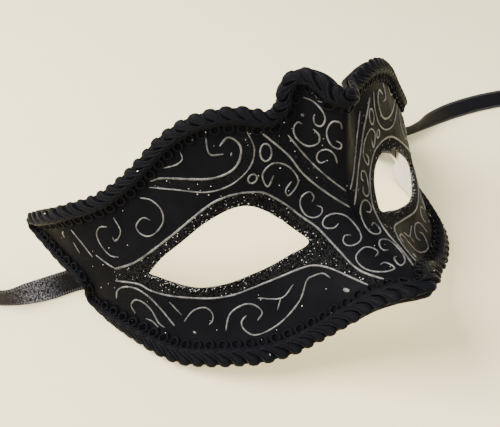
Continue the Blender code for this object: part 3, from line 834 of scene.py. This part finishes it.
def ridge(name, strokes, material):
    """Raised lines on the face, each a tapered bead half sunk in the shell: curves made a mesh."""
    curve = bpy.data.curves.new(name, "CURVE")
    curve.dimensions = "3D"
    curve.bevel_depth = MM
    curve.bevel_resolution = 2
    curve.use_fill_caps = True
    for places, radii, lift in strokes:
        points = on_face(places[:, 0], places[:, 1], lift - radii)
        spline = curve.splines.new("POLY")
        spline.points.add(len(points) - 1)
        spline.points.foreach_set("co", np.concatenate([points, np.ones((len(points), 1))], axis=1).ravel())
        spline.points.foreach_set("radius", radii)
        spline.use_smooth = True
    only_select(in_scene(name, curve))
    bpy.ops.object.convert(target="MESH")
    piece = bpy.context.view_layer.objects.active
    piece.data.materials.append(material)
    return piece


def scroll_stroke(index, width, knots, height):
    """Places, radii and heights of one line, tapered at its ends and a little uneven."""
    length = distances(curve_points(knots))[-1]
    places = smooth_line(knots, max(4, round(length / SCROLL_STEP)))
    travelled = distances(places)
    ends = np.minimum(travelled, travelled[-1] - travelled)
    taper = END_SHARE + (1.0 - END_SHARE) * np.sqrt(np.clip(ends / END_LENGTH, 0.0, 1.0))
    wave = 1.0 + sum(tall * np.sin(travelled * turns + shift * index) for tall, turns, shift in WAVES)
    return places, 0.5 * width * taper * wave, height * np.sqrt(taper)


def ring_stroke(along, up, across, tall, height):
    """One small ring of even line."""
    turns = np.linspace(0.0, 2.0 * math.pi, RING_STEPS + 1)
    places = np.stack([along + across * np.cos(turns), up + tall * np.sin(turns)], axis=1)
    return places, np.full(len(turns), RING_LINE), np.full(len(turns), height * RING_HEIGHT_SHARE)


def drop_stroke(along, up, radius, height):
    """One drop of paint."""
    places = np.array([(along + shift, up + DROP_LEAN * shift) for shift in DROP_SHIFTS])
    return places, radius * np.array(DROP_SHARES), np.full(len(places), height)


class MASK_OT_scrolls(Operator):
    """Raises the silver scroll lines on both halves"""

    bl_idname = "mask.scrolls"
    bl_label = "Silver scrolls"

    def execute(self, context):
        settings = context.scene.mask_scrolls
        material = silver_paint(settings)
        height = settings.height
        for name, sign, left_out in (("scrolls_left", -1.0, ()), ("scrolls_right", 1.0, LEFT_ONLY)):
            strokes = [
                scroll_stroke(index, width * settings.line_scale, knots, height)
                for index, (key, (width, knots)) in enumerate(SCROLLS.items()) if key not in left_out]
            strokes += [ring_stroke(*ring, height) for ring in RINGS.values()]
            strokes += [drop_stroke(*drop, height) for key, drop in DROPS.items() if key not in left_out]
            sided = [(places * (sign, 1.0), radii, lift) for places, radii, lift in strokes]
            piece = ridge(name, sided, material)
            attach(piece, "root")
        return {"FINISHED"}


def slope(loop):
    """Half the difference between the neighbours of each point of a closed loop."""
    return 0.5 * (np.roll(loop, -1, axis=0) - np.roll(loop, 1, axis=0))


def evened(loop, reach):
    """Values of a closed loop averaged with their neighbours, the nearer the more."""
    shares = {shift: 1.0 - abs(shift) / (reach + 1.0) for shift in range(-reach, reach + 1)}
    total = sum(share * np.roll(loop, shift, axis=0) for shift, share in shares.items())
    return total / sum(shares.values())


class BraidPath:
    """Maps the flat braid, along its length, in from its outer edge and up, onto the mask's edge."""

    def __init__(self):
        right, left = outline_half("right", EDGE_FINENESS), outline_half("left", EDGE_FINENESS)
        loop = np.concatenate([right, left[-2::-1] * (-1.0, 1.0)])
        reached = distances(face(loop[:, 0], loop[:, 1]))
        line = even_steps(loop, reached, round(reached[-1] / EDGE_STEP))[:-1]
        across, upward = face_axes(line[:, 0], line[:, 1], EDGE_STEP)
        edge = face(line[:, 0], line[:, 1])
        ways = unit(np.cross(np.cross(across, upward), slope(edge)))
        frames = np.stack([across, upward], axis=2)
        inward = evened(np.stack([
            np.linalg.lstsq(axes, way, rcond=None)[0] for axes, way in zip(frames, ways)]), DIRECTION_REACH)
        moved = line + inward
        spread = np.linalg.norm(slope(face(moved[:, 0], moved[:, 1])), axis=1)
        tightness = np.maximum(1.0 - spread / np.linalg.norm(slope(edge), axis=1), LEAST_BEND)
        widths = np.minimum(BRAID_WIDTH - BRAID_OVERHANG, BEND_SHARE / tightness)
        near = range(-WIDTH_REACH, WIDTH_REACH + 1)
        widths = evened(np.min([np.roll(widths, shift) for shift in near], axis=0), WIDTH_REACH)
        spine = line + inward * (SPINE_SHARE * widths)[:, None]
        self.places, self.inward, self.widths, spine = [
            np.concatenate([loop, loop[:1]]) for loop in (line, inward, widths, spine)]
        self.marks = distances(face(spine[:, 0], spine[:, 1]))
        self.length = self.marks[-1]

    def place(self, flat):
        """Rest places in metres of flat braid points, millimetres."""
        flat = np.asarray(flat, float)
        along = np.mod(flat[..., 0], self.length)
        place = spaced(self.places, self.marks, along)
        inward = spaced(self.inward, self.marks, along)
        depth = flat[..., 1] - BRAID_OVERHANG
        inner = np.interp(along, self.marks, self.widths) / (BRAID_WIDTH - BRAID_OVERHANG)
        spot = place + inward * np.where(depth > 0.0, depth * inner, depth)[..., None]
        return on_face(spot[..., 0], spot[..., 1], flat[..., 2])


def flat_tube(knots, sides):
    """A flat braid cord: knots of along, in, up, half width and half height, as points and faces."""
    stations = curve_points(knots, CORD_PIECES)
    headings = unit(np.gradient(stations[:, :2], axis=0))
    sideways = np.stack([-headings[:, 1], headings[:, 0], np.zeros(len(headings))], axis=1)
    turns = np.linspace(0.0, 2.0 * math.pi, sides, endpoint=False)[:, None]
    points = []
    for station, side in zip(stations, sideways):
        half_width, half_height = np.maximum(station[3:], THINNEST_CORD)
        lift = np.array([0.0, 0.0, half_height])
        points.append(station[:3] + side * half_width * np.cos(turns) + lift * np.sin(turns))
    return np.concatenate(points), tube_faces(len(stations), sides)


def together(forms):
    """Several forms, each its points and its faces, as one."""
    points, faces = [], []
    for form_points, form_faces in forms:
        start = sum(len(group) for group in points)
        faces += [tuple(corner + start for corner in corners) for corners in form_faces]
        points.append(form_points)
    return np.concatenate(points), faces


def repeat_along(path, form, count):
    """One braid motif copied along the whole path."""
    points, faces = form
    pitch = path.length / count
    points, faces = together([(points + (index * pitch, 0.0, 0.0), faces) for index in range(count)])
    return path.place(points), faces


# Braid motif: knots of along, in from the outer edge, height over the shell, half width, half height
FINGER = [
    (-7.4, 5.3, 1.9, 0.30, 0.30), (-5.6, 5.1, 2.4, 0.45, 0.42), (-3.9, 4.8, 2.45, 0.70, 0.55),
    (-2.4, 4.2, 2.25, 1.00, 0.75), (-1.1, 3.4, 1.95, 1.40, 0.90), (-0.2, 2.7, 1.7, 1.80, 1.00),
    (0.4, 2.0, 1.5, 2.05, 1.02), (0.8, 1.4, 1.35, 1.95, 0.95), (1.05, 0.85, 1.25, 1.55, 0.78),
    (1.2, 0.45, 1.15, 1.00, 0.50), (1.28, 0.2, 1.1, 0.04, 0.04),
]
FINGER_CORD_HIGH = [
    (-6.2, 4.95, 2.55, 0.24, 0.22), (-4.2, 4.35, 2.95, 0.32, 0.28), (-2.6, 3.5, 2.95, 0.34, 0.30),
    (-1.5, 2.5, 2.7, 0.34, 0.30), (-0.8, 1.6, 2.3, 0.32, 0.28), (-0.4, 0.9, 1.75, 0.26, 0.22),
]
FINGER_CORD_LOW = [
    (-4.2, 5.2, 2.7, 0.24, 0.22), (-2.2, 4.5, 2.95, 0.32, 0.28), (-0.5, 3.5, 2.75, 0.34, 0.30),
    (0.8, 2.6, 2.4, 0.34, 0.30), (1.7, 1.9, 1.95, 0.30, 0.26), (2.2, 1.4, 1.5, 0.24, 0.20),
]
RING_LEG_LOW = [
    (1.1, 6.1, 1.6, 0.36, 0.36), (0.2, 5.55, 2.0, 0.38, 0.38), (-1.8, 5.2, 2.45, 0.42, 0.40),
    (-4.2, 4.9, 2.75, 0.45, 0.40), (-6.6, 4.6, 2.6, 0.42, 0.38), (-8.4, 4.3, 1.9, 0.35, 0.30),
]
RING_LEG_HIGH = [
    (-0.8, 5.85, 1.5, 0.34, 0.34), (-2.2, 5.65, 1.95, 0.38, 0.38), (-4.2, 5.35, 2.35, 0.40, 0.38),
    (-6.4, 5.05, 2.35, 0.38, 0.36), (-8.0, 4.8, 1.8, 0.32, 0.30),
]
CORD_PIECES = 2
CORD_SIDES = 6
FINGER_SIDES = 8
THINNEST_CORD = 0.03
RING_CENTRE = (0.0, 6.95, 1.25)
RING_RADIUS = 1.55
RING_TILT = math.radians(-25.0)


class MASK_OT_braid(Operator):
    """Winds the gimp braid round the edge: fingers outside, rings inside, on a narrow tape"""

    bl_idname = "mask.braid"
    bl_label = "Gimp braid"

    def execute(self, context):
        settings = context.scene.mask_braid
        material = braid_thread(settings)
        path = BraidPath()
        count = round(path.length / BRAID_PITCH)
        stations = round(path.length / TAPE_STEP)
        marks = np.linspace(0.0, path.length, stations, endpoint=False)
        flat = np.array([[(mark, inward, lift) for inward, lift in TAPE_SECTION] for mark in marks])
        tape = new_piece("braid_tape", path.place(flat).reshape(-1, 3),
                         tube_faces(stations, len(TAPE_SECTION), closed=True), material)
        cords = [flat_tube(knots, CORD_SIDES) for knots in (FINGER_CORD_HIGH, FINGER_CORD_LOW)]
        finger = together([flat_tube(FINGER, FINGER_SIDES), *cords])
        fingers = new_piece("braid_fingers", *repeat_along(path, finger, count), material)
        bpy.ops.object.select_all(action="DESELECT")
        bpy.ops.mesh.primitive_torus_add(
            major_radius=RING_RADIUS, minor_radius=settings.ring_cord, major_segments=18, minor_segments=6,
            location=RING_CENTRE, rotation=(RING_TILT, 0.0, 0.0))
        motif = bpy.context.view_layer.objects.active
        bpy.ops.object.transform_apply(location=True, rotation=True, scale=True)
        ring_points = np.array([vertex.co[:] for vertex in motif.data.vertices])
        ring_faces = [tuple(polygon.vertices) for polygon in motif.data.polygons]
        bpy.data.objects.remove(motif)
        legs = [flat_tube(knots, CORD_SIDES) for knots in (RING_LEG_LOW, RING_LEG_HIGH)]
        ring = together([(ring_points, ring_faces), *legs])
        rings = new_piece("braid_rings", *repeat_along(path, ring, count), material)
        for piece in (tape, fingers, rings):
            outward_normals(piece, MERGE_DISTANCE)
            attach(piece, "root")
        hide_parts("braid_trim")
        return {"FINISHED"}


def glued_station(along, up):
    """Middle of the ribbon against the inner wall, and the direction of its width."""
    normal = face_normals(along, up)
    inside = SHELL_WALL + GLUE_GAP + 0.5 * SOLID_THICKNESS
    middle = at_rest(face(along, up) - normal * inside) / MM
    above = at_rest(face(along, up + 1.0) - normal * inside) / MM
    return np.concatenate([middle, unit(above - middle)])


def loose_station(side, back, lean, width, height=None):
    """Middle of the ribbon at a height, or standing on its edge on the surface, leaning back."""
    lean = math.radians(lean)
    if height is None:
        height = 0.5 * (width * math.cos(lean) + SOLID_THICKNESS * math.sin(abs(lean))) + FLOOR_GAP
    return np.array([side, back, height, 0.0, math.sin(lean), math.cos(lean)])


def tie_stations(route, width):
    """A tie's stations, closely and evenly spaced: its middle and then the direction of its width."""
    stations = [glued_station(*row) for row in route["glued"]]
    for side, back, height, lean in route["falling"]:
        stations.append(loose_station(side, back, lean, width, height))
    stations += [loose_station(*row, width) for row in route["loose"]]
    dense = curve_points(stations)
    lengths = distances(dense[:, :3])
    return even_steps(dense, lengths, round(lengths[-1] / RIBBON_STEP)), lengths[-1]


def ribbon_points(line, width):
    """Both faces of a ribbon, in millimetres, a little cupped across, and what its paint reads there."""
    headings = unit(np.gradient(line[:, :3], axis=0))
    widths = unit(line[:, 3:] - headings * np.sum(line[:, 3:] * headings, axis=1, keepdims=True))
    thick = np.cross(headings, widths)
    travelled = distances(line[:, :3])
    points, rib, selvedge = [], [], []
    for side in (-0.5, 0.5):
        for place, broad, through, mark in zip(line[:, :3], widths, thick, travelled):
            for share in np.linspace(-0.5, 0.5, RIBBON_COLUMNS):
                dip = CUP_DEPTH * 4.0 * share ** 2 * math.sin(mark * CUP_TURNS + CUP_START)
                thickness = RIBBON_THICKNESS * (THICK_EDGE if abs(share) > THICK_EDGE_FROM else 1.0)
                points.append(place + broad * width * share + through * (thickness * side + dip))
                rib.append(mark)
                selvedge.append(abs(share) > SELVEDGE_FROM)
    return np.array(points), rib, selvedge


def ribbon_faces(rows):
    """Faces of a ribbon: both sides and the rim that joins them."""
    columns = RIBBON_COLUMNS
    behind = rows * columns
    faces = []
    for row in range(rows - 1):
        for first in range(row * columns, row * columns + columns - 1):
            second = first + behind
            faces.append((first, first + 1, first + columns + 1, first + columns))
            faces.append((second + columns, second + columns + 1, second + 1, second))
    rim = [row * columns for row in range(rows)]
    rim += [(rows - 1) * columns + column for column in range(1, columns)]
    rim += [row * columns + columns - 1 for row in range(rows - 2, -1, -1)]
    rim += list(range(columns - 2, 0, -1))
    for here, there in zip(rim, rim[1:] + rim[:1]):
        faces.append((here, there, there + behind, here + behind))
    return faces


class MASK_OT_ribbons(Operator):
    """Lays the two satin ties from the inner wall out over the surface"""

    bl_idname = "mask.ribbons"
    bl_label = "Satin ties"

    def execute(self, context):
        settings = context.scene.mask_ribbons
        material = ribbon_satin(settings)
        for name, node, route, sign in (
                ("tie_left", "ribbon_left", LEFT_TIE, -1.0), ("tie_right", "ribbon_right", RIGHT_TIE, 1.0)):
            line, length = tie_stations(route, settings.width)
            points, rib, selvedge = ribbon_points(line, settings.width)
            to_rest = np.array([sign, 1.0, 1.0]) * MM
            tie = new_piece(name, points * to_rest, ribbon_faces(len(line)), material)
            # Painted sheen along one stretch of the left tie only
            gleam = bell(line[:, 0] - PAINTED_SHEEN_SIDE, PAINTED_SHEEN_REACH) * (sign < 0.0)
            store(tie, rib=rib, selvedge=selvedge, gleam=np.tile(np.repeat(gleam, RIBBON_COLUMNS), 2))
            outward_normals(tie)
            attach(tie, "root")
            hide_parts(node)
        return {"FINISHED"}


def soft_light(name, power, place, aim, size, share, colour):
    """A large square light that points at a place."""
    light = bpy.data.lights.new(name, "AREA")
    light.shape = "SQUARE"
    light.size = size
    light.energy = share * power
    light.color = colour
    lamp = in_scene(name, light)
    lamp.location = place
    lamp.rotation_euler = (Vector(aim) - Vector(place)).to_track_quat("-Z", "Y").to_euler()


def floor_paint(settings):
    """Plain pale floor, very slightly cloudy."""
    paint = Paint("pale_floor")
    clouds = paint.span(paint.noise(30.0, 3.0), 0.3, 0.7)
    paint.set(
        base_color=paint.mix(clouds, scaled(settings.floor_colour, 0.98), settings.floor_colour),
        roughness=0.9, specular_ior_level=0.1)
    return paint.material


class MASK_OT_stage(Operator):
    """Sets the camera, the pale floor and the soft lights"""

    bl_idname = "mask.stage"
    bl_label = "Stage"

    def execute(self, context):
        settings = context.scene.mask_stage
        camera = in_scene("camera", bpy.data.cameras.new("camera"))
        right, up = Vector(CAMERA_RIGHT).normalized(), Vector(CAMERA_UP).normalized()
        axes = Matrix((right, up, right.cross(up))).transposed().to_4x4()
        axes.translation = CAMERA_PLACE
        camera.matrix_world = axes
        camera.data.sensor_width = SENSOR_WIDTH
        camera.data.lens = CAMERA_LENS
        camera.data.clip_start = NEAREST_SEEN
        context.scene.camera = camera
        bpy.ops.object.select_all(action="DESELECT")
        bpy.ops.mesh.primitive_plane_add(size=FLOOR_SIZE)
        floor = context.view_layer.objects.active
        floor.name = "floor"
        floor.data.materials.append(floor_paint(settings))
        world = bpy.data.worlds.new("even_light")
        world.use_nodes = True
        background = world.node_tree.nodes["Background"]
        background.inputs["Color"].default_value = (*FILL_COLOUR, 1.0)
        background.inputs["Strength"].default_value = settings.fill
        context.scene.world = world
        for name, light in LIGHTS.items():
            soft_light(name, settings.key_power, **light)
        return {"FINISHED"}


class MASK_PT_pieces(Panel):
    """Lists the pieces of the mask"""

    bl_label = "Mask"
    bl_idname = "MASK_PT_pieces"
    bl_space_type = "VIEW_3D"
    bl_region_type = "UI"
    bl_category = "Mask"

    def draw(self, context):
        for group, (_, operator) in GROUPS.items():
            box = self.layout.box()
            box.operator(operator.bl_idname)
            settings = getattr(context.scene, group)
            for name in type(settings).__annotations__:
                box.prop(settings, name)


# Each group of settings and the operator that uses it, in the order of making
GROUPS = {
    "mask_stage": (MaskStageSettings, MASK_OT_stage),
    "mask_ribbons": (MaskRibbonSettings, MASK_OT_ribbons),
    "mask_shell": (MaskShellSettings, MASK_OT_shell),
    "mask_scrolls": (MaskScrollSettings, MASK_OT_scrolls),
    "mask_braid": (MaskBraidSettings, MASK_OT_braid),
}
CLASSES = (*[kind for pair in GROUPS.values() for kind in pair], MASK_PT_pieces)


def register():
    for kind in CLASSES:
        bpy.utils.register_class(kind)
    for name, (settings, _) in GROUPS.items():
        setattr(bpy.types.Scene, name, PointerProperty(type=settings))


def unregister():
    for name in GROUPS:
        delattr(bpy.types.Scene, name)
    for kind in reversed(CLASSES):
        bpy.utils.unregister_class(kind)


def main():
    register()
    bpy.ops.mask.stage()
    bpy.ops.mask.ribbons()
    bpy.ops.mask.shell()
    bpy.ops.mask.scrolls()
    bpy.ops.mask.braid()


if __name__ == "__main__":
    main()
